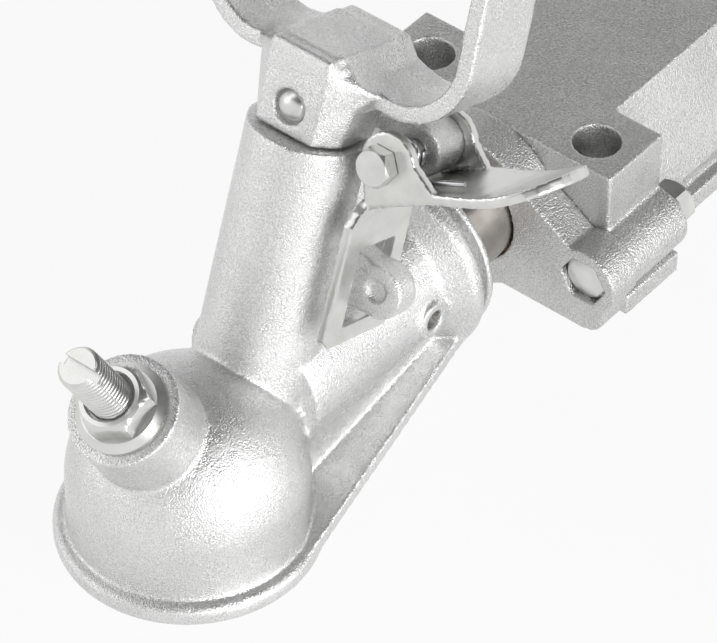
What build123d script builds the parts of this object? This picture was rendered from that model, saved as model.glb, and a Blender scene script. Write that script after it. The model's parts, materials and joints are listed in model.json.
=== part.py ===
from build123d import *
import math
import os

# Trailer coupling head with an override shaft, for a 50 mm tow ball.
# Millimetres. +X points forward to the tow ball, +Y to the latch side, +Z up.
# The origin is the centre of the four mounting holes, on the underside of the body.

# Mounting body
hole_span_x = 110.0
hole_span_y = 60.0
mount_hole_d = 14.0
body_h = 47.5
front_edge = 11.0
rear_edge = 24.0
ear_half_w = 43.0
ear_len = 25.0
waist_top_half_w = 26.0
waist_base_half_w = 36.0
base_past_bolt = 7.5
base_t = 9.0
web_base_t = 7.0

# Sliding shaft
shaft_d = 36.0
shaft_z = 22.0
override_stroke = 15.0
stroke_end_gap = 5.5
slide_fit = 0.06
seat_fit = 0.03
shaft_tail = 6.0
ring_t = 2.4
ring_rise = 4.0
ring_depth = 1.5
ring_play = 0.1
ring_gap = 0.3
bush_wall = 2.0
bush_len = 11.0

# Front plate and the two clamp bolts
plate_t = 12.0
arch_r = 27.0
plate_lip = 2.5
lip_gap = 0.4
bolt_y = 43.5
bolt_z = 17.5
bolt_boss_r = 11.0
bolt_d = 8.0
bolt_hole_d = 8.6
bolt_head_af = 13.0
bolt_head_h = 5.5
bolt_tail = 3.0
nut_h = 6.5
washer_t = 1.6
washer_d = 16.0
spot_face_gap = 1.0
pocket_fit = 0.5

# Coupling head
ball_d = 50.0
ball_fit = 0.25
ball_back = 100.0
ball_drop = 14.0
dome_r = 34.0
skirt_out = 4.0
skirt_round = 2.6
skirt_drop = 22.0
skirt_t = 7.0
neck_r = 23.0
collar_r = 30.0
collar_len = 7.0
groove_len = 3.0
rim_r = 28.0
rim_len = 2.5
web_half_w = 19.0
flange_t = 5.0
flange_rear_z = 4.0
socket_depth = 52.0
cross_pin_d = 6.0
cross_pin_back = 22.0
cross_pin_rim = 1.2

# Adjusting screw and its lock nut
screw_lean = 29.6
screw_boss_r = 16.0
screw_boss_rise = 16.0
screw_d = 12.0
screw_past_boss = 32.5
flange_nut_d = 26.0
flange_nut_t = 3.0
hex_nut_af = 18.0
hex_nut_h = 10.0

# Tower that guides the locking plunger
tower_lean = 19.0
tower_back = 53.0
tower_rise = 90.7
tower_top_r = 17.0
tower_base_r = 17.5
tower_len = 90.0
plunger_d = 16.0
rod_d = 10.0
rod_share = 0.72
tower_cap = 8.0
plunger_head_len = 18.0
plunger_end_cut = 30.0
spring_wire = 1.8
spring_turns = 5

# Jaw behind the ball
jaw_travel = 3.0
jaw_w = 22.0
jaw_h = 14.0
jaw_back = 9.0
jaw_front = 15.0
jaw_low = 10.0
jaw_gap = 0.35

# Handle
handle_gap = 0.4
block_w = 21.0
block_h = 26.0
block_front = -8.0
block_rear = 18.0
horn_t = 5.0
horn_front = -1.0
horn_rear = 24.0
horn_low = 16.0
horn_bend_r = 20.0
horn_out = 43.0
horn_top = 60.0
handle_pin_d = 8.0
handle_pin_a = 8.5
arm_gap = 1.5

# Latch and its pivot bolt
pivot_t = 26.0
pivot_a = 1.0
pivot_d = 6.0
sheet_t = 3.0
ear_r = 8.0
ear_front = -2.0
ear_rear = 28.0
pivot_boss_r = 8.0
pivot_boss_front = 13.0
pivot_boss_rear = 25.0
tongue_rise = 32.0
tongue_len = 52.0
tongue_drop = 14.4
tongue_shoulder = 22.0
tongue_tip_r = 10.0
tongue_tip_mid = 15.0
plate_in_t = 22.0
plate_front_l = -7.0
plate_rear_l = 21.0
plate_low_a = -56.0
window_front_l = 0.0
window_rear_l = 15.5
window_low_a = -50.5
window_top_a = -26.5
lug_t = 8.0
lug_front_l = 3.8
lug_r = 8.0
lug_hole_d = 6.5
lug_a = -38.0
lug_out = 30.0
pivot_head_h = 4.5
pivot_head_af = 10.0
pivot_nut_h = 6.0
latch_wire = 1.6
latch_turns = 3
leg_len = 24.0
leg_in = 0.6
leg_rise = math.radians(10.0)

# Derived places
front_x = hole_span_x / 2 + front_edge
rear_x = -hole_span_x / 2 - rear_edge
plate_x = front_x + plate_t
shaft_rear_x = rear_x - shaft_tail
ring_x = rear_x - ring_gap - ring_t
collar_x = plate_x + override_stroke + stroke_end_gap
base_half_w = bolt_y + base_past_bolt
skirt_r = dome_r + skirt_out
screw_boss_reach = dome_r + screw_boss_rise
screw_reach = screw_boss_reach + screw_past_boss
ball_x = collar_x + ball_back
ball_z = shaft_z - ball_drop
cup_r = ball_d / 2 + ball_fit
skirt_z = ball_z - skirt_drop
shaft_r = shaft_d / 2
neck_x = collar_x + rim_len + groove_len
socket_x = collar_x + socket_depth
lean = math.radians(tower_lean)
jaw_low_z = ball_z - jaw_low
jaw_rear_x = ball_x - cup_r - jaw_back
jaw_front_x = ball_x - jaw_front
axis_a = Vector(-math.sin(lean), 0, math.cos(lean))
axis_l = Vector(-math.cos(lean), 0, -math.sin(lean))
tower_top = Vector(ball_x - tower_back, 0, ball_z + tower_rise)
tower_plane = Plane(origin=tower_top, x_dir=(0, 1, 0), z_dir=axis_a)
plunger_end_z = jaw_low_z + jaw_h + jaw_gap + 0.2
plunger_len = (tower_top.Z - plunger_end_z) / math.cos(lean)


def side_plane(l):
    """The plane across the tower at a distance l behind its axis: x is +Y, y is up the tower."""
    return Plane(origin=tower_top + axis_l * l, x_dir=(0, 1, 0), z_dir=axis_l * -1)


def hex_cone(plane, across_flats, depth):
    """A cone-cut disc that rounds off the corners of a hexagon whose end face lies on the plane."""
    wide = across_flats / 2 * 1.16
    with BuildPart(mode=Mode.PRIVATE) as cone:
        with BuildSketch(plane):
            Circle(across_flats / 2 * 0.97)
        with BuildSketch(plane.offset(-across_flats / 10)):
            Circle(wide)
        loft()
        with BuildSketch(plane.offset(-across_flats / 10)):
            Circle(wide)
        extrude(amount=-depth)
    return cone.part


def save(piece, name):
    piece.part.label = name
    export_step(piece.part, f"parts/{name}.step")


os.makedirs("parts", exist_ok=True)

# Body casting: a block with front and rear ears, a narrower waist, a base and side tubes for the bolts
body_len = front_x - rear_x
with BuildPart() as body_casting:
    with BuildSketch(Plane.YZ.offset(rear_x)):
        with BuildLine():
            Polyline(
                (-waist_base_half_w, 0),
                (waist_base_half_w, 0),
                (waist_base_half_w, base_t + 2),
                (waist_top_half_w, body_h),
                (-waist_top_half_w, body_h),
                (-waist_base_half_w, base_t + 2),
                close=True,
            )
        make_face()
    extrude(amount=body_len)
    for ear_x in (front_x - ear_len, rear_x):
        with BuildSketch(Plane.YZ.offset(ear_x)):
            with Locations((0, body_h / 2)):
                Rectangle(2 * ear_half_w, body_h)
        extrude(amount=ear_len if ear_x > 0 else rear_edge + front_edge)
    with BuildSketch(Plane.XY):
        with Locations(((front_x + rear_x) / 2, 0)):
            Rectangle(body_len, 2 * (waist_base_half_w + 4))
        with Locations((front_x - ear_len / 2, 0)):
            Rectangle(ear_len, 2 * base_half_w)
    extrude(amount=web_base_t)
    fillet(body_casting.edges().filter_by(Axis.Z).group_by(Axis.X)[-1], 0.6)
    with BuildSketch(Plane.YZ.offset(front_x - ear_len)):
        with Locations((bolt_y, bolt_z), (-bolt_y, bolt_z)):
            Circle(bolt_boss_r - 0.8)
    extrude(amount=ear_len)
    with BuildSketch(Plane.YZ.offset(rear_x)):
        with Locations((0, shaft_z)):
            Circle(shaft_r + slide_fit + bush_wall / 4)
    extrude(amount=body_len, mode=Mode.SUBTRACT)
    with BuildSketch(Plane.YZ.offset(rear_x)):
        with Locations((0, shaft_z)):
            Circle(shaft_r + slide_fit + bush_wall)
    extrude(amount=bush_len, mode=Mode.SUBTRACT)
    with BuildSketch(Plane.YZ.offset(front_x - ear_len)):
        with Locations((bolt_y, bolt_z), (-bolt_y, bolt_z)):
            Circle(bolt_hole_d / 2)
    extrude(amount=ear_len, mode=Mode.SUBTRACT)
    with BuildSketch(Plane.YZ.offset(front_x - ear_len)):
        with Locations((bolt_y, bolt_z), (-bolt_y, bolt_z)):
            Circle(washer_d / 2 + spot_face_gap)
    extrude(amount=-(washer_t + nut_h + bolt_tail + spot_face_gap), mode=Mode.SUBTRACT)
    with Locations((0, 0, body_h)):
        with GridLocations(hole_span_x, hole_span_y, 2, 2):
            Hole(mount_hole_d / 2)
save(body_casting, "body_casting")

# Front plate: an arch round the shaft, two bosses with hex pockets and a wide foot
with BuildPart() as front_plate:
    with BuildSketch(Plane.YZ.offset(front_x)):
        with Locations((0, shaft_z)):
            Circle(arch_r)
        with Locations((bolt_y, bolt_z), (-bolt_y, bolt_z)):
            Circle(bolt_boss_r)
        with Locations((0, base_t)):
            RectangleRounded(2 * base_half_w, 2 * base_t, 6.0)
        with BuildLine():
            Polyline(
                (-bolt_y, bolt_z + bolt_boss_r * 0.6),
                (-arch_r * 0.8, shaft_z + arch_r * 0.6),
                (arch_r * 0.8, shaft_z + arch_r * 0.6),
                (bolt_y, bolt_z + bolt_boss_r * 0.6),
                (bolt_y, 4),
                (-bolt_y, 4),
                close=True,
            )
        make_face()
        with Locations((0, shaft_z)):
            Circle(shaft_r + lip_gap, mode=Mode.SUBTRACT)
        with Locations((bolt_y, bolt_z), (-bolt_y, bolt_z)):
            Circle(bolt_hole_d / 2, mode=Mode.SUBTRACT)
    extrude(amount=plate_t)
    with BuildSketch(Plane.YZ.offset(front_x)):
        with Locations((0, shaft_z)):
            Circle(shaft_r + slide_fit + bush_wall)
    extrude(amount=plate_t - plate_lip, mode=Mode.SUBTRACT)
    with BuildSketch(Plane.YZ.offset(plate_x)):
        with Locations((bolt_y, bolt_z), (-bolt_y, bolt_z)):
            RegularPolygon((bolt_head_af + pocket_fit) / 2, 6, major_radius=False)
    extrude(amount=-bolt_head_h - 0.5, mode=Mode.SUBTRACT)
save(front_plate, "front_plate")

# Slide bushes in the plate and in the rear of the body
for bush_name, bush_x, length in (("front_bush", front_x, plate_t - plate_lip), ("rear_bush", rear_x, bush_len)):
    with BuildPart() as bush:
        with BuildSketch(Plane.YZ.offset(bush_x)):
            with Locations((0, shaft_z)):
                Circle(shaft_r + slide_fit + bush_wall - seat_fit)
                Circle(shaft_r + slide_fit, mode=Mode.SUBTRACT)
        extrude(amount=length)
    save(bush, bush_name)

# Clamp bolts, washers and nuts, one set each side
for side, sign in (("left", 1), ("right", -1)):
    with BuildPart() as clamp_bolt:
        with BuildSketch(Plane.YZ.offset(plate_x - bolt_head_h - 0.5)):
            with Locations((sign * bolt_y, bolt_z)):
                RegularPolygon(bolt_head_af / 2, 6, major_radius=False)
        extrude(amount=bolt_head_h)
        head_face = Plane(
            origin=(plate_x - 0.5, sign * bolt_y, bolt_z),
            x_dir=(0, 1, 0),
            z_dir=(1, 0, 0),
        )
        add(hex_cone(head_face, bolt_head_af, bolt_head_h), mode=Mode.INTERSECT)
        bolt_end = front_x - ear_len - washer_t - nut_h - bolt_tail
        with BuildSketch(Plane.YZ.offset(bolt_end)):
            with Locations((sign * bolt_y, bolt_z)):
                Circle(bolt_d / 2)
        extrude(amount=plate_x - bolt_head_h - 0.5 - bolt_end)
        chamfer(clamp_bolt.edges().group_by(Axis.X)[0], 0.8)
    save(clamp_bolt, f"clamp_bolt_{side}")
    with BuildPart() as clamp_washer:
        with BuildSketch(Plane.YZ.offset(front_x - ear_len - washer_t)):
            with Locations((sign * bolt_y, bolt_z)):
                Circle(washer_d / 2)
                Circle(bolt_hole_d / 2, mode=Mode.SUBTRACT)
        extrude(amount=washer_t)
    save(clamp_washer, f"clamp_washer_{side}")
    with BuildPart() as clamp_nut:
        with BuildSketch(Plane.YZ.offset(front_x - ear_len - washer_t - nut_h)):
            with Locations((sign * bolt_y, bolt_z)):
                RegularPolygon(bolt_head_af / 2, 6, major_radius=False)
                Circle(bolt_d / 2 + seat_fit, mode=Mode.SUBTRACT)
        extrude(amount=nut_h)
        nut_face = Plane(
            origin=(front_x - ear_len - washer_t - nut_h, sign * bolt_y, bolt_z),
            x_dir=(0, 1, 0),
            z_dir=(-1, 0, 0),
        )
        add(hex_cone(nut_face, bolt_head_af, nut_h), mode=Mode.INTERSECT)
    save(clamp_nut, f"clamp_nut_{side}")

# Sliding shaft: a ground bar held in the head by a cross pin
with BuildPart() as shaft:
    with BuildSketch(Plane.YZ.offset(shaft_rear_x)):
        with Locations((0, shaft_z)):
            Circle(shaft_r)
    extrude(amount=socket_x - seat_fit - shaft_rear_x)
    with BuildSketch(Plane.XZ.offset(-shaft_r - 1)):
        with Locations((collar_x + cross_pin_back, shaft_z)):
            Circle(cross_pin_d / 2 + seat_fit)
    extrude(amount=shaft_d + 2, mode=Mode.SUBTRACT)
    with BuildSketch(Plane.YZ.offset(ring_x - ring_play)):
        with Locations((0, shaft_z)):
            Circle(shaft_r + 1)
            Circle(shaft_r - ring_depth, mode=Mode.SUBTRACT)
    extrude(amount=ring_t + 2 * ring_play, mode=Mode.SUBTRACT)
save(shaft, "shaft")

# Stop ring in the shaft's groove, which keeps the shaft from pulling out
with BuildPart() as stop_ring:
    with BuildSketch(Plane.YZ.offset(ring_x)):
        with Locations((0, shaft_z)):
            Circle(shaft_r + ring_rise)
            Circle(shaft_r - ring_depth + seat_fit, mode=Mode.SUBTRACT)
    extrude(amount=ring_t)
save(stop_ring, "stop_ring")

with BuildPart() as shaft_cross_pin:
    with BuildSketch(Plane.XZ.offset(-shaft_r - 0.5)):
        with Locations((collar_x + cross_pin_back, shaft_z)):
            Circle(cross_pin_d / 2)
    extrude(amount=shaft_d + 1)
    chamfer(shaft_cross_pin.edges().filter_by(GeomType.CIRCLE), 0.5)
save(shaft_cross_pin, "shaft_cross_pin")

# Head casting: dome and skirt, screw boss, tower, neck with collar, webs and a rising flange
screw_dir = Vector(math.sin(math.radians(screw_lean)), 0, math.cos(math.radians(screw_lean)))
ball_at = Vector(ball_x, 0, ball_z)
screw_plane = Plane(origin=ball_at, x_dir=(0, 1, 0), z_dir=screw_dir)
with BuildPart() as head_casting:
    with Locations(ball_at):
        Sphere(dome_r)
    with BuildSketch(Plane.XY.offset(skirt_z)):
        with Locations((ball_x, 0)):
            Circle(dome_r)
    extrude(amount=skirt_drop)
    with BuildSketch(Plane.XY.offset(skirt_z)):
        with Locations((ball_x, 0)):
            Circle(skirt_r)
    extrude(amount=skirt_t)
    round_edges = head_casting.edges().filter_by(GeomType.CIRCLE)
    fillet(round_edges.filter_by(lambda e: abs(e.radius - skirt_r) < 0.01), skirt_round)
    with BuildSketch(screw_plane.offset(ball_d / 4)):
        Circle(screw_boss_r)
    extrude(amount=screw_boss_reach - ball_d / 4)
    with BuildSketch(tower_plane):
        Circle(tower_top_r)
    with BuildSketch(tower_plane.offset(-tower_len)):
        Circle(tower_base_r)
    loft()
    with BuildSketch(Plane.XZ):
        with BuildLine():
            Polyline(
                (collar_x, shaft_z),
                (collar_x, shaft_z + rim_r),
                (collar_x + rim_len, shaft_z + rim_r),
                (collar_x + rim_len, shaft_z + neck_r + 1),
                (neck_x, shaft_z + neck_r + 1),
                (neck_x, shaft_z + collar_r - 1.5),
                (neck_x + 1.5, shaft_z + collar_r),
                (neck_x + collar_len - 2, shaft_z + collar_r),
                (neck_x + collar_len, shaft_z + collar_r - 2.5),
                (neck_x + collar_len + 4, shaft_z + neck_r),
                (ball_x - dome_r + 6, shaft_z + neck_r),
                (ball_x - dome_r + 6, shaft_z),
                close=True,
            )
        make_face()
    revolve(axis=Axis((0, 0, shaft_z), (1, 0, 0)))
    with BuildSketch(Plane.XZ):
        with BuildLine():
            Polyline(
                (neck_x + 3, shaft_z),
                (neck_x + 3, flange_rear_z + 1),
                (ball_x, skirt_z + 1),
                (ball_x, shaft_z),
                close=True,
            )
        make_face()
    extrude(amount=web_half_w, both=True)
    with BuildPart(mode=Mode.PRIVATE) as flange:
        with BuildSketch(Plane.XZ):
            with BuildLine():
                Polyline(
                    (neck_x + 3, flange_rear_z),
                    (ball_x, skirt_z),
                    (ball_x, skirt_z + flange_t),
                    (neck_x + 3, flange_rear_z + flange_t),
                    close=True,
                )
            make_face()
        extrude(amount=skirt_r, both=True)
        with BuildSketch(Plane.XY.offset(skirt_z)):
            with BuildLine():
                Polyline(
                    (neck_x, -neck_r - 1),
                    (ball_x, -skirt_r + 0.5),
                    (ball_x, skirt_r - 0.5),
                    (neck_x, neck_r + 1),
                    close=True,
                )
            make_face()
        extrude(amount=body_h, mode=Mode.INTERSECT)
    add(flange.part)
    with BuildSketch(side_plane(lug_front_l + lug_t)):
        with BuildLine():
            Polyline(
                (0, lug_a - lug_r - 4),
                (lug_out - 12, lug_a - lug_r - 3),
                (lug_out - 6, lug_a - lug_r),
                (lug_out, lug_a - lug_r),
                (lug_out, lug_a + lug_r),
                (lug_out - 6, lug_a + lug_r),
                (0, lug_a + lug_r + 6),
                close=True,
            )
        make_face()
        with Locations((lug_out, lug_a)):
            Circle(lug_r)
    extrude(amount=lug_t)
    with BuildSketch(Plane.XZ.offset(-web_half_w)):
        with Locations((collar_x + cross_pin_back, shaft_z)):
            Circle(cross_pin_d / 2 + 3)
    extrude(amount=-(neck_r + cross_pin_rim - web_half_w))
    with BuildSketch(Plane.XZ.offset(web_half_w)):
        with Locations((collar_x + cross_pin_back, shaft_z)):
            Circle(cross_pin_d / 2 + 3)
    extrude(amount=neck_r + cross_pin_rim - web_half_w)
    # The cup for the ball, open below with a small lead-in
    with Locations((ball_x, 0, skirt_z - dome_r)):
        Box(2 * dome_r, 2 * dome_r, 2 * dome_r, mode=Mode.SUBTRACT)
    with Locations(ball_at):
        Sphere(cup_r, mode=Mode.SUBTRACT)
    with BuildSketch(Plane.XY.offset(skirt_z)):
        with Locations((ball_x, 0)):
            Circle(cup_r)
    extrude(amount=skirt_drop, mode=Mode.SUBTRACT)
    with BuildSketch(Plane.XY.offset(skirt_z)):
        with Locations((ball_x, 0)):
            Circle(cup_r + 3)
    extrude(amount=3, taper=45, mode=Mode.SUBTRACT)
    # Bores: shaft socket, cross pin, screw, plunger and its rod, the jaw's pocket and the lug hole
    with BuildSketch(Plane.YZ.offset(collar_x)):
        with Locations((0, shaft_z)):
            Circle(shaft_r + seat_fit)
    extrude(amount=socket_depth, mode=Mode.SUBTRACT)
    with BuildSketch(Plane.XZ.offset(-neck_r - 5)):
        with Locations((collar_x + cross_pin_back, shaft_z)):
            Circle(cross_pin_d / 2 + seat_fit)
    extrude(amount=2 * neck_r + 10, mode=Mode.SUBTRACT)
    with BuildSketch(screw_plane):
        Circle(screw_d / 2 + slide_fit)
    extrude(amount=screw_boss_reach + 1, mode=Mode.SUBTRACT)
    with BuildSketch(tower_plane.offset(1)):
        Circle(rod_d / 2 + slide_fit)
    extrude(amount=-tower_len / 2, mode=Mode.SUBTRACT)
    with BuildSketch(tower_plane.offset(-tower_cap)):
        Circle(plunger_d / 2 + slide_fit)
    extrude(amount=tower_cap - plunger_len - 4, mode=Mode.SUBTRACT)
    with Locations((ball_x - jaw_front, 0, jaw_low_z + jaw_h / 2)):
        Box(
            jaw_front_x - jaw_rear_x + jaw_travel + jaw_gap,
            jaw_w + 2 * jaw_gap,
            jaw_h + 2 * jaw_gap,
            align=(Align.MAX, Align.CENTER, Align.CENTER),
            mode=Mode.SUBTRACT,
        )
    with BuildSketch(side_plane(lug_front_l + lug_t)):
        with Locations((lug_out, lug_a)):
            Circle(lug_hole_d / 2)
    extrude(amount=lug_t, mode=Mode.SUBTRACT)
save(head_casting, "head_casting")

# Adjusting screw with a slotted end, and its flanged lock nut
with BuildPart() as adjusting_screw:
    with BuildSketch(screw_plane.offset(cup_r + 0.4)):
        Circle(screw_d / 2)
    extrude(amount=screw_reach - cup_r - 0.4)
    chamfer(adjusting_screw.edges().filter_by(GeomType.CIRCLE), 1.0)
    with BuildSketch(screw_plane.offset(screw_reach)):
        Rectangle(screw_d + 2, 1.8)
    extrude(amount=-3, mode=Mode.SUBTRACT)
save(adjusting_screw, "adjusting_screw")

with BuildPart() as adjusting_lock_nut:
    with BuildSketch(screw_plane.offset(screw_boss_reach)):
        Circle(flange_nut_d / 2)
    extrude(amount=flange_nut_t)
    chamfer(adjusting_lock_nut.edges().group_by(Axis(ball_at, screw_dir))[-1], 1.4)
    with BuildPart(mode=Mode.PRIVATE) as hexagon:
        with BuildSketch(screw_plane.offset(screw_boss_reach)):
            RegularPolygon(hex_nut_af / 2, 6, major_radius=False)
        extrude(amount=hex_nut_h)
        nut_top = screw_plane.offset(screw_boss_reach + hex_nut_h)
        add(hex_cone(nut_top, hex_nut_af, hex_nut_h), mode=Mode.INTERSECT)
    add(hexagon.part)
    with BuildSketch(screw_plane.offset(screw_boss_reach)):
        Circle(screw_d / 2 + seat_fit)
    extrude(amount=hex_nut_h, mode=Mode.SUBTRACT)
save(adjusting_lock_nut, "adjusting_lock_nut")

# Jaw: a block with a round front for the ball and a sloping back for the plunger
with BuildPart() as ball_clamp:
    with BuildSketch(Plane.XZ):
        with BuildLine():
            Polyline(
                (jaw_rear_x, jaw_low_z),
                (jaw_front_x, jaw_low_z),
                (jaw_front_x, jaw_low_z + jaw_h),
                (jaw_rear_x + 6, jaw_low_z + jaw_h),
                (jaw_rear_x, jaw_low_z + jaw_h - 5),
                close=True,
            )
        make_face()
    extrude(amount=jaw_w / 2, both=True)
    with Locations(ball_at):
        Sphere(cup_r + 0.02, mode=Mode.SUBTRACT)
save(ball_clamp, "ball_clamp")

# Locking plunger: a rod with a thicker guided end, cut level above the jaw
with BuildPart() as locking_plunger:
    with BuildSketch(tower_plane.offset(-plunger_len + plunger_head_len)):
        Circle(plunger_d / 2)
    extrude(amount=-plunger_head_len - 6)
    with BuildSketch(tower_plane.offset(-plunger_len + plunger_head_len - 1)):
        Circle(rod_d / 2)
    extrude(amount=plunger_len - plunger_head_len + 1 + handle_gap + block_h * rod_share)
    with BuildSketch(side_plane(0)):
        with Locations((0, handle_pin_a)):
            Circle(handle_pin_d / 2 + seat_fit)
    extrude(amount=rod_d, both=True, mode=Mode.SUBTRACT)
    with Locations((ball_x - tower_back / 2, 0, plunger_end_z - plunger_end_cut / 2)):
        Box(3 * plunger_end_cut, plunger_end_cut, plunger_end_cut, mode=Mode.SUBTRACT)
save(locking_plunger, "locking_plunger")

# Plunger spring round the rod, between the guided end and the tower's cap
spring_low = -plunger_len + plunger_head_len + spring_wire / 2 + 0.2
spring_high = -tower_cap - spring_wire / 2 - 0.2
spring_r = (rod_d + plunger_d) / 4 - 0.05
spring_len = spring_high - spring_low
spring_path = tower_plane.offset(spring_low) * Helix(spring_len / spring_turns, spring_len, spring_r)
with BuildPart() as plunger_spring:
    with BuildSketch(Plane(origin=spring_path @ 0, z_dir=spring_path % 0)):
        Circle(spring_wire / 2)
    sweep(path=spring_path, is_frenet=True)
save(plunger_spring, "plunger_spring")

# Handle casting: a block on the tower, two finger horns that curl up, and a barrel for the latch bolt
with BuildPart() as handle:
    with BuildSketch(tower_plane.offset(handle_gap)):
        with Locations((0, (block_front + block_rear) / 2)):
            RectangleRounded(block_w, block_rear - block_front, 2.0)
    extrude(amount=block_h)
    for sign in (1, -1):
        with BuildSketch(side_plane(horn_rear)):
            with BuildLine():
                foot = Line((0, horn_low + 4), (sign * (horn_out - horn_bend_r), horn_low))
                RadiusArc(
                    foot @ 1,
                    (sign * horn_out, horn_low + horn_bend_r),
                    -sign * horn_bend_r,
                )
                Line((sign * horn_out, horn_low + horn_bend_r), (sign * (horn_out - 1), horn_top))
            trace(line_width=horn_t)
            with Locations((sign * (horn_out - 1), horn_top)):
                Circle(horn_t / 2)
        extrude(amount=horn_rear - horn_front)
    with BuildSketch(side_plane(pivot_boss_rear)):
        with Locations((pivot_t, pivot_a)):
            Circle(pivot_boss_r)
        with BuildLine():
            Polyline(
                (0, handle_gap + 1),
                (tower_top_r + arm_gap, handle_gap + 1),
                (pivot_t, pivot_a - pivot_boss_r + 1),
                (pivot_t, pivot_a + pivot_boss_r - 1),
                (8, horn_low),
                (0, horn_low),
                close=True,
            )
        make_face()
    extrude(amount=pivot_boss_rear - pivot_boss_front)
    with BuildSketch(side_plane(pivot_boss_rear + 1)):
        with Locations((pivot_t, pivot_a)):
            Circle(pivot_d / 2 + seat_fit)
        with Locations((0, handle_pin_a)):
            Circle(handle_pin_d / 2 + seat_fit)
    extrude(amount=pivot_boss_rear - block_front + 2, mode=Mode.SUBTRACT)
    with BuildSketch(side_plane(block_front + 2)):
        with Locations((0, handle_pin_a)):
            Circle(handle_pin_d / 2 + 1.8)
    extrude(amount=3, mode=Mode.SUBTRACT)
    with BuildSketch(tower_plane):
        Circle(rod_d / 2 + seat_fit)
    extrude(amount=handle_gap * 2 + block_h * rod_share + 1, mode=Mode.SUBTRACT)
save(handle, "handle")

# Handle pin: a rivet through the block and the plunger, with a domed head in the counterbore
with BuildPart() as handle_pin:
    with BuildSketch(side_plane(block_rear - 0.5)):
        with Locations((0, handle_pin_a)):
            Circle(handle_pin_d / 2)
    extrude(amount=block_rear - block_front - 0.5)
    fillet(handle_pin.edges().filter_by(GeomType.CIRCLE), 1.6)
save(handle_pin, "handle_pin")

# Latch: one folded sheet with two ears, a finger tongue and a plate with a window for the lug
rise = math.radians(tongue_rise)
out_dir = (math.cos(rise), math.sin(rise))
down_dir = (math.sin(rise), -math.cos(rise))
tongue_a0 = pivot_a - tongue_drop / math.cos(rise) + (plate_in_t - pivot_t) * math.tan(rise)
tongue_tip = (
    pivot_t + down_dir[0] * tongue_drop + out_dir[0] * tongue_len,
    pivot_a + down_dir[1] * tongue_drop + out_dir[1] * tongue_len,
)
with BuildPart() as latch_plate:
    with BuildSketch(side_plane(plate_rear_l)):
        with BuildLine():
            Polyline(
                (plate_in_t, tongue_a0 + 1),
                (plate_in_t + sheet_t, tongue_a0 + 1 + sheet_t * math.tan(rise)),
                (plate_in_t + sheet_t, plate_low_a),
                (plate_in_t, plate_low_a),
                close=True,
            )
        make_face()
    extrude(amount=plate_rear_l - plate_front_l)
    tongue_plane = Plane(
        origin=tower_top + Vector(0, plate_in_t, 0) + axis_a * tongue_a0,
        x_dir=Vector(0, out_dir[0], 0) + axis_a * out_dir[1],
        z_dir=Vector(0, down_dir[0], 0) + axis_a * down_dir[1],
    )
    reach = math.hypot(tongue_tip[0] - plate_in_t, tongue_tip[1] - tongue_a0)
    rear_sign = 1 if tongue_plane.y_dir.dot(axis_l) > 0 else -1
    with BuildSketch(tongue_plane):
        with BuildLine():
            Line((0, rear_sign * ear_front), (0, rear_sign * ear_rear))
            Line((0, rear_sign * ear_rear), (tongue_shoulder, rear_sign * ear_rear))
            Line((tongue_shoulder, rear_sign * ear_rear), (reach - tongue_tip_r, rear_sign * (tongue_tip_mid + tongue_tip_r)))
            ThreePointArc(
                (reach - tongue_tip_r, rear_sign * (tongue_tip_mid + tongue_tip_r)),
                (reach, rear_sign * tongue_tip_mid),
                (reach - tongue_tip_r, rear_sign * (tongue_tip_mid - tongue_tip_r)),
            )
            Line((reach - tongue_tip_r, rear_sign * (tongue_tip_mid - tongue_tip_r)), (tongue_shoulder + 2, rear_sign * ear_front))
            Line((tongue_shoulder + 2, rear_sign * ear_front), (0, rear_sign * ear_front))
        make_face()
    extrude(amount=sheet_t)
    for ear_l in (ear_front, ear_rear - sheet_t):
        with BuildSketch(side_plane(ear_l + sheet_t)):
            with Locations((pivot_t, pivot_a)):
                Circle(ear_r)
            with BuildLine():
                Polyline(
                    (pivot_t - ear_r, pivot_a),
                    (plate_in_t - 1, pivot_a - ear_r),
                    (plate_in_t, tongue_a0),
                    (plate_in_t + tongue_shoulder * out_dir[0], tongue_a0 + tongue_shoulder * out_dir[1]),
                    (pivot_t + ear_r, pivot_a + 1),
                    close=True,
                )
            make_face()
        extrude(amount=sheet_t)
    with BuildSketch(side_plane(ear_rear + 1)):
        with Locations((pivot_t, pivot_a)):
            Circle(pivot_d / 2 + slide_fit)
    extrude(amount=ear_rear - ear_front + 2, mode=Mode.SUBTRACT)
    window_plane = Plane(
        origin=tower_top + Vector(0, plate_in_t - 1, 0),
        x_dir=axis_l,
        z_dir=(0, 1, 0),
    )
    up_sign = 1 if window_plane.y_dir.dot(axis_a) > 0 else -1
    with BuildSketch(window_plane):
        with Locations(((window_front_l + window_rear_l) / 2, up_sign * (window_low_a + window_top_a) / 2)):
            RectangleRounded(window_rear_l - window_front_l, window_top_a - window_low_a, 2.0)
    extrude(amount=sheet_t + 2, mode=Mode.SUBTRACT)
save(latch_plate, "latch_plate")

# Latch bolt, its washer-faced head, the lock nut and the return spring
with BuildPart() as latch_bolt:
    with BuildSketch(side_plane(ear_front - 0.2)):
        with Locations((pivot_t, pivot_a)):
            RegularPolygon(pivot_head_af / 2, 6, major_radius=False)
    extrude(amount=pivot_head_h)
    pivot_at = tower_top + Vector(0, pivot_t, 0) + axis_a * pivot_a
    bolt_face = Plane(
        origin=pivot_at + axis_l * (ear_front - 0.2 - pivot_head_h),
        x_dir=(0, 1, 0),
        z_dir=axis_l * -1,
    )
    add(hex_cone(bolt_face, pivot_head_af, pivot_head_h), mode=Mode.INTERSECT)
    with BuildSketch(side_plane(ear_rear + pivot_nut_h + 2.2)):
        with Locations((pivot_t, pivot_a)):
            Circle(pivot_d / 2)
    extrude(amount=ear_rear - ear_front + pivot_nut_h + 2.4)
save(latch_bolt, "latch_bolt")

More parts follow.
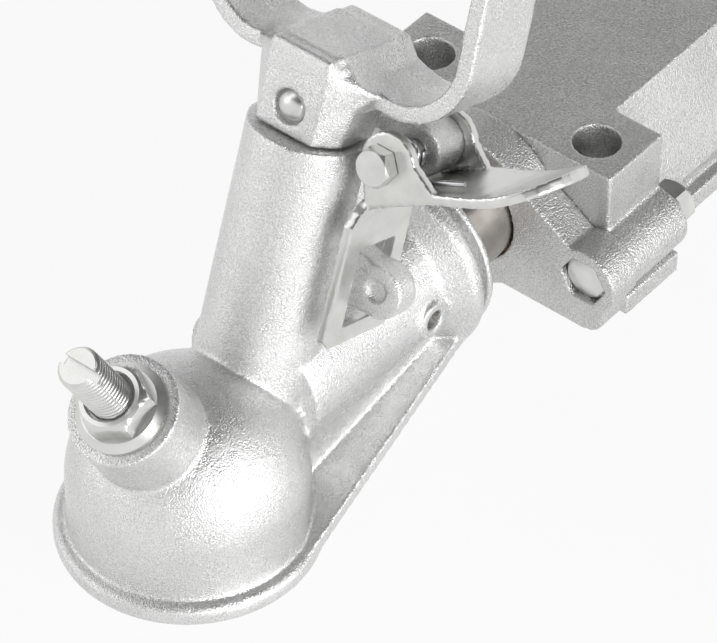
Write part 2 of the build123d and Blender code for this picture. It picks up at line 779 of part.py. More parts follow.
with BuildPart() as latch_nut:
    with BuildSketch(side_plane(ear_rear + pivot_nut_h + 0.2)):
        with Locations((pivot_t, pivot_a)):
            RegularPolygon(pivot_head_af / 2, 6, major_radius=False)
            Circle(pivot_d / 2 + seat_fit, mode=Mode.SUBTRACT)
    extrude(amount=pivot_nut_h)
    rear_face = Plane(
        origin=pivot_at + axis_l * (ear_rear + pivot_nut_h + 0.2),
        x_dir=(0, 1, 0),
        z_dir=axis_l,
    )
    add(hex_cone(rear_face, pivot_head_af, pivot_nut_h), mode=Mode.INTERSECT)
save(latch_nut, "latch_nut")

coil_start = ear_front + sheet_t + latch_wire / 2 + 0.3
coil_len = pivot_boss_front - coil_start - latch_wire / 2 - 0.4
coil_r = pivot_d / 2 + latch_wire / 2 + 0.6
coil_plane = Plane(origin=pivot_at + axis_l * coil_start, x_dir=(0, -1, 0), z_dir=axis_l)
coil_path = coil_plane * Helix(coil_len / latch_turns, coil_len, coil_r)
with BuildPart() as latch_spring:
    with BuildSketch(Plane(origin=coil_path @ 0, z_dir=coil_path % 0)):
        Circle(latch_wire / 2)
    sweep(path=coil_path, is_frenet=True)
    leg_dir = Vector(0, math.cos(leg_rise), 0) + axis_a * math.sin(leg_rise)
    leg_at = pivot_at + axis_l * (coil_start + leg_in) + axis_a * -coil_r
    with BuildSketch(Plane(origin=leg_at, x_dir=axis_l, z_dir=leg_dir)):
        Circle(latch_wire / 2)
    extrude(amount=leg_len)
save(latch_spring, "latch_spring")
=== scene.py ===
import json
import math

import bmesh
import bpy
from mathutils import Matrix, Vector


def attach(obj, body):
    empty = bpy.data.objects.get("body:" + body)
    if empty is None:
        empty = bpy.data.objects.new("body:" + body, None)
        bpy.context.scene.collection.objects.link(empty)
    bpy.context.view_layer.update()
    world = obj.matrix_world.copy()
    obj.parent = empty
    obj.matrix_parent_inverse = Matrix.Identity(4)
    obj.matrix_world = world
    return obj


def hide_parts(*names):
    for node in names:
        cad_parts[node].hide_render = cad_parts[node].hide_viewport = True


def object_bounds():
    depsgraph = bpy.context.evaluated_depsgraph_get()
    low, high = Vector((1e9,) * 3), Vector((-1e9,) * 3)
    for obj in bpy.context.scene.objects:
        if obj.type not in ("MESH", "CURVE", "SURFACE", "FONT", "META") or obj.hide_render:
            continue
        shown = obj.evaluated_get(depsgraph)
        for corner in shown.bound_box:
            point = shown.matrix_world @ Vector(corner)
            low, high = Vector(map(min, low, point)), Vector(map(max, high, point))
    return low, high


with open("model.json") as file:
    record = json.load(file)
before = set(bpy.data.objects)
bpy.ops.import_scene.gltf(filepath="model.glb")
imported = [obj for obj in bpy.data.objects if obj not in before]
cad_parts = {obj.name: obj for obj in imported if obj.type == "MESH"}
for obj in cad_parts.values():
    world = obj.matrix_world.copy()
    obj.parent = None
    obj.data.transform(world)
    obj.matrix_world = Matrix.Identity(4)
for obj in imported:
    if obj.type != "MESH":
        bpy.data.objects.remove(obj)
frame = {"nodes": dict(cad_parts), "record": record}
cad_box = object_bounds()
nodes = frame["nodes"]

# The studio: a white sweep under and behind the part, soft boxes above and to its latch side,
# and a long lens that looks down on the cup from the front. Nothing here belongs to the part.
scene = bpy.context.scene
scene.view_settings.view_transform = "Standard"


def linear(hex_colour):
    """The linear colour, opaque, of an sRGB hex value."""
    parts = [int(hex_colour[i:i + 2], 16) / 255 for i in (1, 3, 5)]
    lit = [c / 12.92 if c <= 0.04045 else ((c + 0.055) / 1.055) ** 2.4 for c in parts]
    return (*lit, 1.0)


def add_node(tree, kind, settings=None, **links):
    """A node with its settings; a link or a value for each named socket."""
    node = tree.nodes.new(kind)
    for key, value in (settings or {}).items():
        setattr(node, key, value)
    for name, value in links.items():
        place = name[1:]
        socket = node.inputs[int(place) if place.isdigit() else name.replace("_", " ")]
        if isinstance(value, bpy.types.NodeSocket):
            tree.links.new(value, socket)
        else:
            socket.default_value = value
    return node


def bare_material(name):
    """A material with an empty node tree."""
    material = bpy.data.materials.new(name)
    material.use_nodes = True
    material.node_tree.nodes.clear()
    return material


def seen_plainly(tree):
    """One where the lens, a clear piece or a mirror looks at the surface, and zero for its light."""
    ray = add_node(tree, "ShaderNodeLightPath")
    seen = ray.outputs["Is Camera Ray"]
    for other in ("Is Transmission Ray", "Is Glossy Ray"):
        either = add_node(tree, "ShaderNodeMath", {"operation": "ADD", "use_clamp": True},
                          _0=seen, _1=ray.outputs[other])
        seen = either.outputs[0]
    return seen


image_w = 717
image_h = 643
sensor_w = 36.0
focal_px = 4500.0
px_per_mm = 3.65
view_azimuth = math.radians(129.3)
view_elevation = math.radians(44.0)
ball_px = (188.0, 472.0)
seat = next(m for m in frame["record"]["mounts"] if m["name"] == "ball_seat")
ball = Vector(seat["pos_m"])
back = Vector((
    math.sin(view_azimuth) * math.cos(view_elevation),
    -math.cos(view_azimuth) * math.cos(view_elevation),
    math.sin(view_elevation),
))
right = Vector((math.cos(view_azimuth), math.sin(view_azimuth), 0))
up = back.cross(right)
mm = 0.001
aim = ball + right * (image_w / 2 - ball_px[0]) / px_per_mm * mm
aim = aim + up * (ball_px[1] - image_h / 2) / px_per_mm * mm
camera_data = bpy.data.cameras.new("camera")
camera_data.sensor_width = sensor_w
camera_data.lens = sensor_w * focal_px / image_w
camera_data.clip_end = 20.0
camera = bpy.data.objects.new("camera", camera_data)
scene.collection.objects.link(camera)
camera.matrix_world = Matrix((
    (right.x, up.x, back.x, 0),
    (right.y, up.y, back.y, 0),
    (right.z, up.z, back.z, 0),
    (0, 0, 0, 1),
))
camera.location = aim + back * focal_px / px_per_mm * mm
scene.camera = camera

world = bpy.data.worlds.new("studio")
scene.world = world
world.use_nodes = True
sky = world.node_tree
sky.nodes.clear()
room = add_node(sky, "ShaderNodeBackground", Color=linear("#e4e4e4"), Strength=0.26)
white = add_node(sky, "ShaderNodeBackground", Color=linear("#ffffff"), Strength=1.0)
pick = add_node(sky, "ShaderNodeMixShader", _0=seen_plainly(sky), _1=room.outputs[0], _2=white.outputs[0])
add_node(sky, "ShaderNodeOutputWorld", Surface=pick.outputs[0])


def soft_box(name, spot, look, size, watts):
    """A rectangular lamp, turned to the point that it lights."""
    data = bpy.data.lights.new(name, "AREA")
    data.shape = "RECTANGLE"
    data.size, data.size_y = size
    data.energy = watts
    lamp = bpy.data.objects.new(name, data)
    scene.collection.objects.link(lamp)
    lamp.location = spot
    lamp.rotation_euler = (Vector(look) - Vector(spot)).to_track_quat("-Z", "Y").to_euler()


middle = Vector((0.1, 0, 0.03))
soft_box("key", (0.25, 1.1, 0.35), middle, (0.9, 0.6), 9.0)
soft_box("top", (0.6, -0.5, 1.15), middle, (0.7, 0.7), 2.0)
soft_box("rim", (0.9, -0.7, 0.5), middle, (0.35, 0.9), 1.6)


def flat_sheet(name, reach, height, material):
    """A level square of the studio, as far out on each side as its reach."""
    mesh = bpy.data.meshes.new(name)
    corners = ((-reach, -reach), (reach, -reach), (reach, reach), (-reach, reach))
    mesh.from_pydata([(x, y, height) for x, y in corners], [], [(0, 1, 2, 3)])
    mesh.materials.append(material)
    square = bpy.data.objects.new(name, mesh)
    scene.collection.objects.link(square)
    return square


# White paper, matt: to the lens it is nearly plain white, and the small rest keeps the part's shadow.
floor_gap = 0.0003
plain_share = 0.92
paper = bare_material("white_paper_sweep")
sweep = paper.node_tree
matt = add_node(sweep, "ShaderNodeBsdfDiffuse", Color=linear("#f2f2f2"))
glow = add_node(sweep, "ShaderNodeEmission", Color=linear("#ffffff"), Strength=1.0)
shown = add_node(sweep, "ShaderNodeMath", {"operation": "MULTIPLY"},
                 _0=seen_plainly(sweep), _1=plain_share)
floor_mix = add_node(sweep, "ShaderNodeMixShader",
                     _0=shown.outputs[0], _1=matt.outputs[0], _2=glow.outputs[0])
add_node(sweep, "ShaderNodeOutputMaterial", Surface=floor_mix.outputs[0])
floor = flat_sheet("floor", 3.0, cad_box[0][2] - floor_gap, paper)

# The studio's grey ceiling, in dull distemper, which the upward faces mirror. The lens doesn't see it.
distemper = bare_material("grey_distemper_ceiling")
dull = distemper.node_tree
haze = add_node(dull, "ShaderNodeEmission", Color=linear("#6c6c6c"), Strength=1.0)
add_node(dull, "ShaderNodeOutputMaterial", Surface=haze.outputs[0])
ceiling = flat_sheet("ceiling", 2.6, 1.7, distemper)
ceiling.visible_camera = False


# The head casting: cup, screw boss, tower, neck, collar, flange and lock lug in one. It is sand-cast
# iron with a bright silver zinc coat, so its faces keep the grain of the sand and its edges are soft.
def two_tone(tree, value, low, dark, high, light):
    """A colour that goes from the dark to the light tone between two values of a pattern."""
    ramp = add_node(tree, "ShaderNodeValToRGB", Fac=value)
    for stop, position, colour in zip(ramp.color_ramp.elements, (low, high), (dark, light)):
        stop.position = position
        stop.color = linear(colour)
    return ramp.outputs[0]


def sand_cast(name, light, dark, grain, depth, rough):
    """Zinc-coated sand-cast iron: satin silver, pitted by sand grains of the given size.

    The grain is drawn about twice as coarse as real moulding sand, so that it shows at this size."""
    mould_swell = 9 * mm
    coat_patch = 26 * mm
    material = bare_material(name)
    tree = material.node_tree
    place = add_node(tree, "ShaderNodeTexCoord").outputs["Object"]
    sand = add_node(tree, "ShaderNodeTexNoise", Vector=place, Scale=1 / grain, Detail=2.0, Roughness=0.65)
    pits = add_node(tree, "ShaderNodeTexVoronoi", Vector=place, Scale=0.9 / grain)
    mould = add_node(tree, "ShaderNodeTexNoise", Vector=place,
                     Scale=1 / mould_swell, Detail=3.0, Roughness=0.55)
    patch = add_node(tree, "ShaderNodeTexNoise", Vector=place,
                     Scale=1 / coat_patch, Detail=2.0, Roughness=0.5)
    height = add_node(tree, "ShaderNodeMath", {"operation": "MULTIPLY_ADD"},
                      _0=pits.outputs["Distance"], _1=0.5, _2=sand.outputs["Fac"])
    height = add_node(tree, "ShaderNodeMath", {"operation": "MULTIPLY_ADD"},
                      _0=mould.outputs["Fac"], _1=0.8, _2=height.outputs[0])
    relief = add_node(tree, "ShaderNodeBump", Height=height.outputs[0], Distance=depth, Strength=1.0)
    tone = add_node(tree, "ShaderNodeMath", {"operation": "MULTIPLY_ADD"},
                    _0=patch.outputs["Fac"], _1=0.25, _2=sand.outputs["Fac"])
    gloss = add_node(tree, "ShaderNodeMapRange", Value=mould.outputs["Fac"],
                     From_Min=0.3, From_Max=0.7, To_Min=rough - 0.06, To_Max=rough + 0.08)
    shader = add_node(tree, "ShaderNodeBsdfPrincipled",
                      Base_Color=two_tone(tree, tone.outputs[0], 0.5, dark, 0.72, light), Metallic=0.86,
                      Roughness=gloss.outputs[0], Normal=relief.outputs[0])
    add_node(tree, "ShaderNodeOutputMaterial", Surface=shader.outputs[0])
    return material


def loft(mesh, rings, ring_shape=False):
    """A closed solid through rings of points: flat at its ends, or joined end to end."""
    made = [[mesh.verts.new(point) for point in ring] for ring in rings]
    count = len(made[0])
    pairs = list(zip(made, made[1:]))
    if ring_shape:
        pairs.append((made[-1], made[0]))
    else:
        mesh.faces.new(list(reversed(made[0])))
        mesh.faces.new(made[-1])
    for low, high in pairs:
        for i in range(count):
            j = (i + 1) % count
            mesh.faces.new((low[i], low[j], high[j], high[i]))


def new_piece(name, mesh):
    """An object from the bmesh, with its faces turned outward."""
    bmesh.ops.recalc_face_normals(mesh, faces=mesh.faces)
    data = bpy.data.meshes.new(name)
    mesh.to_mesh(data)
    mesh.free()
    piece = bpy.data.objects.new(name, data)
    scene.collection.objects.link(piece)
    return piece


def worked(piece):
    """The piece with its modifiers worked into its mesh."""
    graph = bpy.context.evaluated_depsgraph_get()
    made = bpy.data.meshes.new_from_object(piece.evaluated_get(graph))
    piece.modifiers.clear()
    piece.data = made
    return piece


def fit_out(piece, body, node, material, smooth_below):
    """The piece with its finish, on its body and in place of its CAD solid."""
    piece.data.materials.clear()
    piece.data.materials.append(material)
    piece.data.polygons.foreach_set("use_smooth", [True] * len(piece.data.polygons))
    if smooth_below:
        piece.data.set_sharp_from_angle(angle=math.radians(smooth_below))
    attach(piece, body)
    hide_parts(node)


def soften(piece, voxel, passes, ripple=0.0, keep=1.0):
    """Rounds the piece's edges and corners, and gives its faces the mould's slight unevenness.

    The unevenness mostly goes inward, and nothing is left below the lowest solid."""
    weld_gap = 0.02 * mm
    ripple_size = 3.5 * mm
    weld = piece.modifiers.new("weld", "WELD")
    weld.merge_threshold = weld_gap
    remesh = piece.modifiers.new("remesh", "REMESH")
    remesh.mode = "VOXEL"
    remesh.voxel_size = voxel
    if keep < 1:
        thin = piece.modifiers.new("thin", "DECIMATE")
        thin.ratio = keep
    smooth = piece.modifiers.new("smooth", "SMOOTH")
    smooth.factor = 0.5
    smooth.iterations = passes
    if ripple:
        sand = bpy.data.textures.new(piece.name + "_ripple", "CLOUDS")
        sand.noise_scale = ripple_size
        push = piece.modifiers.new("ripple", "DISPLACE")
        push.texture = sand
        push.texture_coords = "LOCAL"
        push.strength = ripple
        push.mid_level = 0.6
    done = worked(piece)
    for vertex in done.data.vertices:
        vertex.co.z = max(vertex.co.z, cad_box[0][2])
    return done


# The tower leans back from the cup. Most places near it are given in its own directions.
tower_top = Vector((0.1455, 0, 0.0987))
tower_lean = math.radians(19.0)
tower_up = Vector((-math.sin(tower_lean), 0, math.cos(tower_lean)))
tower_rear = Vector((-math.cos(tower_lean), 0, -math.sin(tower_lean)))


def tower(side, rise, rear):
    """A point given in millimetres from the tower's top: to the latch side, up the tower, rearward."""
    return tower_top + (Vector((0, side, 0)) + tower_up * rise + tower_rear * rear) * mm


def round_bar(centre, radius, rears, count=32):
    """Rings of a bar that runs rearward past the tower, at the side and rise of its centre."""
    return [
        [tower(centre[0] + radius * math.cos(k * math.tau / count),
               centre[1] + radius * math.sin(k * math.tau / count), rear) for k in range(count)]
        for rear in rears
    ]


voxel = 0.6 * mm
passes = 8
cast_ripple = 0.07 * mm
# A bright, satin silver with fine glints: the coat follows each grain of the sand.
cast_head = sand_cast("zinc_coated_sand_cast_iron_head", "#ebebea", "#cecece", 0.45 * mm, 0.21 * mm, 0.27)
head = bmesh.new()
head.from_mesh(nodes["head_casting"].data)
# The lug shows a shallow dimple, so its hole is filled almost to the face.
lug_hole = (30.0, -38.0)
lug_plug_r = 3.6
loft(head, round_bar(lug_hole, lug_plug_r, (5.2, 11.0)))
head = new_piece("head_cast", head)
head = soften(head, voxel, passes, cast_ripple, keep=0.42)
fit_out(head, "head", "head_casting", cast_head, 0)


# The lift handle: a block that sits on the tower, with two finger horns and a barrel for the latch
# bolt, cast in the same iron. The block widens to sloping shoulders and its front face is drilled.
# Each section is a place rearward and half an outline there, as side and rise from the foot up.
block_sections = (
    (-11.9, ((9.2, 0.5), (9.4, 12.0), (9.5, 19.0), (9.5, 21.0), (9.5, 23.5), (9.4, 25.7))),
    (-11.0, ((10.0, 0.5), (10.4, 12.0), (10.6, 19.0), (10.5, 21.5), (10.2, 23.8), (9.7, 26.0))),
    (-5.4, ((14.2, 0.5), (16.0, 12.0), (17.0, 19.0), (16.6, 20.6), (13.4, 22.8), (9.8, 26.0))),
    (-2.4, ((14.6, 0.5), (16.6, 12.0), (19.6, 17.0), (20.0, 18.8), (14.4, 21.2), (9.8, 26.0))),
    (8.0, ((14.8, 0.5), (16.8, 12.0), (24.0, 15.4), (24.0, 18.2), (14.8, 20.4), (9.8, 26.0))),
    (15.0, ((10.6, 0.5), (12.0, 12.0), (24.0, 15.4), (24.0, 18.2), (14.8, 20.4), (9.8, 26.0))),
    (23.6, ((10.4, 0.5), (12.0, 12.0), (22.0, 15.6), (22.0, 18.3), (14.4, 20.6), (9.8, 26.0))),
)
pin_rise = 8.5
pin_head_bore_r = 5.0
pin_bore_r = 4.04
rod_bore_r = 5.03
rod_bore_top = 20.2
block = bmesh.new()
rings = []
for rear, half in block_sections:
    latch_side = [tower(side, rise, rear) for side, rise in half]
    far_side = [tower(-side, rise, rear) for side, rise in reversed(half)]
    rings.append(latch_side + far_side)
loft(block, rings)
block = new_piece("handle_block", block)
drill = bmesh.new()
loft(drill, round_bar((0, pin_rise), pin_head_bore_r, (-14.0, -9.4)))
loft(drill, round_bar((0, pin_rise), pin_bore_r, (-9.5, 20.0)))
drill = new_piece("handle_drill", drill)
rod_bore = bmesh.new()
turns = [k * math.tau / 32 for k in range(32)]
loft(rod_bore, [[tower(rod_bore_r * math.cos(turn), rise, rod_bore_r * math.sin(turn)) for turn in turns]
                for rise in (-1.0, rod_bore_top)])
rod_bore = new_piece("handle_rod_bore", rod_bore)
for cutter in (drill, rod_bore):
    bore = block.modifiers.new(cutter.name, "BOOLEAN")
    bore.operation = "DIFFERENCE"
    bore.object = cutter
block = worked(block)
handle = bmesh.new()
handle.from_mesh(nodes["handle"].data)
handle.from_mesh(block.data)
handle = new_piece("handle_cast", handle)
for made in (block, drill, rod_bore):
    bpy.data.objects.remove(made)
handle = soften(handle, voxel, passes, cast_ripple, keep=0.8)
fit_out(handle, "handle", "handle", cast_head, 0)


# The mounting body and the plate in front of it, cast in a coarser sand than the head, so their
# flat tops look grey and pitted.
# A greyer, duller silver: the coarser grain scatters the light.
body_ripple = 0.09 * mm
cast_body = sand_cast("zinc_coated_sand_cast_iron_body", "#e0e0df", "#bfbfbe", 0.55 * mm, 0.32 * mm, 0.33)
for node, keep in (("body_casting", 0.42), ("front_plate", 1.0)):
    cast = bmesh.new()
    cast.from_mesh(nodes[node].data)
    cast = new_piece(node + "_cast", cast)
    cast = soften(cast, voxel, passes - 3, body_ripple, keep)
    fit_out(cast, "body", node, cast_body, 0)


# The latch: a steel sheet folded to a tongue for the fingers, two ears on the pivot bolt and a plate
# whose window goes over the lug. It is stamped, bent and zinc plated, with edges left by the press.
def plated(name, light, dark, rough, streak):
    """Plated or bright steel: clear metal, with faint clouds and short drawing lines in its face.

    The lines are drawn coarser than real ones, so that they break up the mirror at this size."""
    cloud_size = 7 * mm
    line_gap = 0.5 * mm
    line_depth = 0.05 * mm
    material = bare_material(name)
    tree = material.node_tree
    place = add_node(tree, "ShaderNodeTexCoord").outputs["Object"]
    long_way = add_node(tree, "ShaderNodeMapping", Vector=place, Scale=(1.0, 0.25, 1.0))
    cloud = add_node(tree, "ShaderNodeTexNoise", Vector=place,
                     Scale=1 / cloud_size, Detail=5.0, Roughness=0.6)
    lines = add_node(tree, "ShaderNodeTexNoise", Vector=long_way.outputs[0],
                     Scale=1 / line_gap, Detail=3.0)
    gloss = add_node(tree, "ShaderNodeMapRange", Value=cloud.outputs["Fac"],
                     From_Min=0.3, From_Max=0.7, To_Min=rough - 0.04, To_Max=rough + 0.05)
    relief = add_node(tree, "ShaderNodeBump", Height=lines.outputs["Fac"],
                      Distance=line_depth, Strength=streak)
    shader = add_node(tree, "ShaderNodeBsdfPrincipled",
                      Base_Color=two_tone(tree, cloud.outputs["Fac"], 0.3, dark, 0.72, light),
                      Metallic=1.0, Roughness=gloss.outputs[0], Normal=relief.outputs[0])
    add_node(tree, "ShaderNodeOutputMaterial", Surface=shader.outputs[0])
    return material


def finish_node(name, material):
    """Gives a CAD solid its finish."""
    data = nodes[name].data
    if data.materials:
        for slot in nodes[name].material_slots:
            slot.material = material
    else:
        data.materials.append(material)


# Flat and pale, with soft reflections: thin zinc on rolled sheet.
zinc_sheet = plated("zinc_plated_stamped_sheet", "#e0e0dd", "#cfcfcc", 0.3, 0.35)
sheet_t = 3.0
pivot = (26.0, 1.0)
# The tongue from the fold outward, along its underside: side, rise, front edge and rear edge.
tongue_line = ((24.6, -13.6, -2.0, 28.0), (28.4, -11.5, -2.0, 28.0), (36.5, -6.6, -2.0, 28.0),
               (43.0, -3.2, -2.0, 28.0), (46.0, -1.9, -2.0, 28.0), (52.0, 0.4, -2.0, 28.0),
               (58.0, 3.0, -2.0, 28.0), (62.5, 5.5, -2.0, 28.0), (66.5, 8.2, -1.4, 27.6),
               (69.6, 10.5, 0.0, 26.6), (72.3, 12.7, 2.2, 24.8), (74.3, 14.4, 5.0, 22.2),
               (75.5, 15.4, 8.2, 18.8), (75.9, 15.8, 11.6, 15.4))
sheet = bmesh.new()
rings = []
for i, (side, rise, front, rear) in enumerate(tongue_line):
    before = tongue_line[max(i - 1, 0)]
    after = tongue_line[min(i + 1, len(tongue_line) - 1)]
    run = Vector((after[0] - before[0], after[1] - before[1])).normalized()
    over = (side - run.y * sheet_t, rise + run.x * sheet_t)
    rings.append([tower(side, rise, front), tower(*over, front),
                  tower(*over, rear), tower(side, rise, rear)])
loft(sheet, rings)
# Each ear rounds over the pivot and runs down to the fold and out along the tongue.
ear_r = 8.8
ear_middle = (27.6, 1.8)
ear_turns = [math.radians(20 + 8 * k) for k in range(21)]
for front, foot in ((-2.0, 45.0), (25.0, 42.0)):
    ear = [(ear_middle[0] + ear_r * math.cos(turn), ear_middle[1] + ear_r * math.sin(turn))
           for turn in ear_turns]
    ear += [(23.6, -13.0), (26.0, -12.4), (foot - 4, -4.4), (foot, -1.0)]
    loft(sheet, [[tower(side, rise, rear) for side, rise in ear] for rear in (front, front + sheet_t)])
# The plate that hangs over the lug, as four bars round its window: each in rear and rise.
plate_in = 22.0
frame_bars = (
    ((-7.0, -54.0), (-5.0, -56.0), (21.0, -56.0), (21.0, -50.5), (-7.0, -50.5)),
    ((-7.0, -54.0), (-0.2, -54.0), (-0.2, -16.4), (-4.6, -14.4), (-7.0, -18.0)),
    ((15.5, -54.0), (21.0, -54.0), (21.0, -12.0), (15.5, -12.0)),
    ((-7.0, -26.5), (21.0, -26.5), (21.0, -11.2), (0.4, -11.2), (-4.4, -14.2), (-7.0, -18.0)),
)
for bar in frame_bars:
    loft(sheet, [[tower(side, rise, rear) for rear, rise in bar]
                 for side in (plate_in, plate_in + sheet_t)])
sheet = new_piece("latch_sheet", sheet)
soften(sheet, (0.5) * mm, 3)
bolt_hole_r = 3.06
bolt_hole = bmesh.new()
loft(bolt_hole, round_bar(pivot, bolt_hole_r, (-4.0, 30.0)))
bolt_hole = new_piece("latch_bolt_hole", bolt_hole)
pierce = sheet.modifiers.new("pierce", "BOOLEAN")
pierce.operation = "DIFFERENCE"
pierce.object = bolt_hole
worked(sheet)
bpy.data.objects.remove(bolt_hole)
fit_out(sheet, "latch", "latch_plate", zinc_sheet, 40)


# The latch spring: three turns of drawn wire round the pivot bolt between the front ear and the
# barrel, with one leg that lies on the tongue. Bright and smooth, so that each turn has a thin glint.
drawn_wire = plated("drawn_spring_wire", "#c9cacb", "#b2b3b5", 0.2, 0.1)
wire_r = 0.8
coil_r = 4.6
coil_from = 2.4
coil_to = 10.6
coil_turns = 3.3
coil_end = math.radians(-80)
coil_steps = 99
path = []
for k in range(coil_steps + 1):
    share = k / coil_steps
    angle = coil_end + math.tau * coil_turns * (1 - share)
    path.append(tower(pivot[0] + coil_r * math.cos(angle), pivot[1] + coil_r * math.sin(angle),
                      coil_to + (coil_from - coil_to) * share))
path += [tower(31.0, -2.8, 2.6), tower(36.0, -0.9, 3.2), tower(42.0, 1.5, 3.9), tower(48.4, 4.0, 4.6)]


def wire_rings(points, radius, sides=12):
    """Rings of wire along the points, turned as little as the line allows."""
    rings = []
    side = None
    for i, point in enumerate(points):
        way = (points[min(i + 1, len(points) - 1)] - points[max(i - 1, 0)]).normalized()
        side = way.orthogonal() if side is None else side - way * side.dot(way)
        side.normalize()
        over = way.cross(side)
        turns = [k * math.tau / sides for k in range(sides)]
        rings.append([point + (side * math.cos(turn) + over * math.sin(turn)) * radius * mm
                      for turn in turns])
    return rings


coil = bmesh.new()
loft(coil, wire_rings(path, wire_r))
fit_out(new_piece("latch_spring_wire", coil), "latch", "latch_spring", drawn_wire, 60)
for name in ("plunger_spring", "stop_ring"):
    finish_node(name, drawn_wire)


# The rivet through the handle and the plunger: zinc-plated steel with a low domed head, which sits
# in the block's drilled front face.
# Silvery and slightly soft: zinc on a forged face has small, blurred highlights.
zinc_bolt = plated("zinc_plated_cold_headed_steel", "#e0e0de", "#cdcdca", 0.3, 0.2)
rivet_line = ((17.4, 3.4), (16.8, 4.0), (-9.3, 4.0), (-9.5, 4.5),
              (-10.4, 4.4), (-11.2, 3.7), (-11.9, 2.5), (-12.2, 1.2))
rivet = bmesh.new()
loft(rivet, [round_bar((0, pin_rise), radius, (rear,))[0] for rear, radius in rivet_line])
fit_out(new_piece("handle_rivet", rivet), "handle", "handle_pin", zinc_bolt, 40)


# The adjusting screw: an M12 steel screw, rolled to a 1.75 mm pitch and sawn across its end for a
# screwdriver. It leans forward over the cup and takes up the wear of the ball clamp.
screw_lean = math.radians(29.6)
screw_way = Vector((math.sin(screw_lean), 0, math.cos(screw_lean)))
screw_over = Vector((0, 1, 0)).cross(screw_way)
screw_r = 6.0
screw_low = 25.65
screw_high = 82.5
pitch = 1.75
thread_depth = 0.85
chamfer = 1.0
slot_w = 2.6
slot_depth = 3.0
saw_reach = 9
around = 54
steps_a_turn = 10
flank_slope = 1.35


def on_screw(reach, radius, angle):
    """A point at a distance along the screw from the ball's centre, in millimetres."""
    return ball + (screw_way * reach + Vector((0, 1, 0)) * radius * math.cos(angle)
                   + screw_over * radius * math.sin(angle)) * mm


def thread_radii(low, high, outer, step, depth):
    """The radius all round a thread at each place along it, with a chamfer at each end."""
    count = round((high - low) / step * steps_a_turn)
    for i in range(count + 1):
        reach = low + (high - low) * i / count
        limit = outer - chamfer + min(reach - low, high - reach, chamfer)
        radii = []
        for k in range(around):
            crest = min(1.0, flank_slope * (1 - abs(2 * ((reach / step - k / around) % 1) - 1)))
            radii.append(min(outer - depth * (1 - crest), limit))
        yield reach, radii


screw = bmesh.new()
rings = []
for reach, radii in thread_radii(screw_low, screw_high, screw_r, pitch, thread_depth):
    rings.append([on_screw(reach, radius, k * math.tau / around) for k, radius in enumerate(radii)])
loft(screw, rings)
screw = new_piece("adjusting_screw_thread", screw)
saw = bmesh.new()
loft(saw, [[ball + (screw_way * reach + Vector((0, 1, 0)) * side + screw_over * over) * mm
            for side, over in ((-saw_reach, -slot_w / 2), (saw_reach, -slot_w / 2),
                               (saw_reach, slot_w / 2), (-saw_reach, slot_w / 2))]
           for reach in (screw_high - slot_depth, screw_high + 2)])
saw = new_piece("saw_cut", saw)
cut = screw.modifiers.new("cut", "BOOLEAN")
cut.operation = "DIFFERENCE"
cut.object = saw
worked(screw)
bpy.data.objects.remove(saw)
fit_out(screw, "head", "adjusting_screw", zinc_bolt, 35)


# The lock nut on the adjusting screw: a hexagon with a round flange under it, cold-formed and zinc
# plated, with chamfered corners and a countersunk bore. Its outline goes up the outside and back
# down the bore: reach, radius, and one where the six flats cut it.
nut_low = 50.0
nut_high = 60.0
flange_r = 13.0
flange_edge = 1.1
flange_t = 3.0
nut_flat = 18.6
nut_bore = 6.02
nut_corner = 10.85
countersink = 7.3
nut_line = (
    (nut_low, flange_r - 0.4, 0),
    (nut_low + 0.3, flange_r, 0),
    (nut_low + flange_edge, flange_r, 0),
    (nut_low + flange_edge + 0.4, flange_r - 0.5, 0),
    (nut_low + flange_t, nut_corner + 0.05, 0),
    (nut_low + flange_t + 0.01, nut_corner, 1),
    (nut_high - 1.9, nut_corner, 1),
    (nut_high - 1.2, 10.1, 1),
    (nut_high - 0.5, 9.2, 1),
    (nut_high, 8.5, 1),
    (nut_high, countersink, 0),
    (nut_high - 1.3, nut_bore, 0),
    (nut_low, nut_bore, 0),
)
nut_sides = 96
nut = bmesh.new()
rings = []
for reach, radius, hexed in nut_line:
    ring = []
    for k in range(nut_sides):
        angle = k * math.tau / nut_sides
        flat = nut_flat / 2 / math.cos((angle + math.pi / 6) % (math.pi / 3) - math.pi / 6)
        ring.append(on_screw(reach, min(radius, flat) if hexed else radius, angle))
    rings.append(ring)
loft(nut, rings, ring_shape=True)
fit_out(new_piece("adjusting_flange_nut", nut), "head", "adjusting_lock_nut", zinc_bolt, 28)


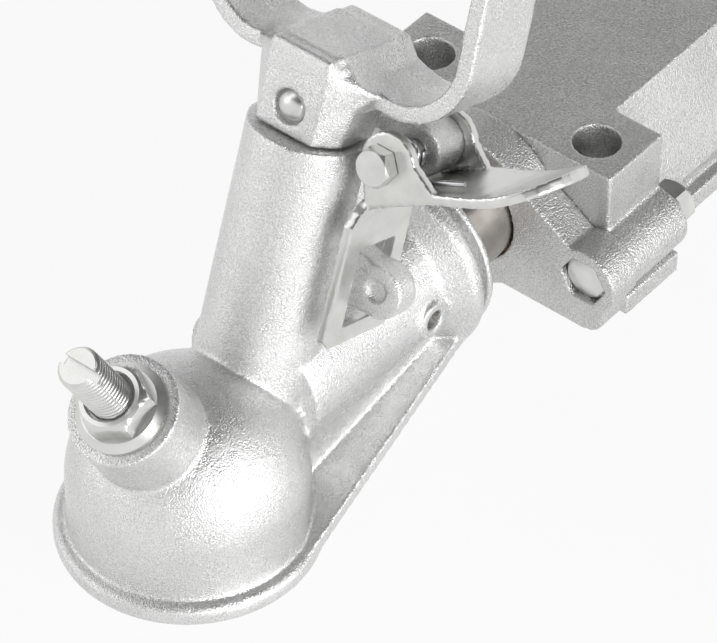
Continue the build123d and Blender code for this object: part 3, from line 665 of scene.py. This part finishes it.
# The two long M8 bolts that hold the front plate: cold-headed steel, rolled at the tail and zinc
# plated. Their heads sit deep in the plate's hexagonal pockets.
bolt_y = 43.5
bolt_z = 17.5
bolt_r = 4.0
bolt_tail = 29.9
bolt_thread_end = 44.0
bolt_neck = 72.0
bolt_face = 76.3
bolt_flat = 13.0
bolt_corner = 7.6
bolt_pitch = 1.25
bolt_thread_depth = 0.62
for side, sign in (("left", 1), ("right", -1)):
    profile = list(thread_radii(bolt_tail, bolt_thread_end, bolt_r, bolt_pitch, bolt_thread_depth))
    profile += [(bolt_thread_end + 0.1, [bolt_r] * around), (bolt_neck, [bolt_r] * around)]
    for reach, limit in ((bolt_neck, bolt_corner), (bolt_face - 0.7, bolt_corner),
                         (bolt_face - 0.3, bolt_corner - 1.0), (bolt_face, bolt_corner - 1.9)):
        hexed = []
        for k in range(around):
            corner = (k * math.tau / around + math.pi / 6) % (math.pi / 3) - math.pi / 6
            hexed.append(min(limit, bolt_flat / 2 / math.cos(corner)))
        profile.append((reach, hexed))
    bolt = bmesh.new()
    loft(bolt, [
        [Vector((reach, sign * bolt_y + radius * math.cos(k * math.tau / around),
                 bolt_z + radius * math.sin(k * math.tau / around))) * mm
         for k, radius in enumerate(radii)]
        for reach, radii in profile
    ])
    fit_out(new_piece("plate_bolt_" + side, bolt), "body", "clamp_bolt_" + side, zinc_bolt, 28)
    for name in ("clamp_washer", "clamp_nut"):
        finish_node(f"{name}_{side}", zinc_bolt)

# The latch's pivot bolt and its nut, of the same cold-headed steel.
for name in ("latch_bolt", "latch_nut"):
    finish_node(name, zinc_bolt)

# The shaft, its cross pin, the ball clamp and the plunger: bare steel, ground round, a little brown
# from oil and handling, with soft streaks across its length.
ground = plated("ground_bare_steel", "#c4bfba", "#a7a19b", 0.2, 0.4)
for name in ("shaft", "shaft_cross_pin", "ball_clamp", "locking_plunger"):
    finish_node(name, ground)

# The two slide bushes: turned bronze, brown and dull from oil.
bronze = plated("turned_bronze", "#a98a5c", "#8a6d43", 0.36, 0.5)
for name in ("front_bush", "rear_bush"):
    finish_node(name, bronze)
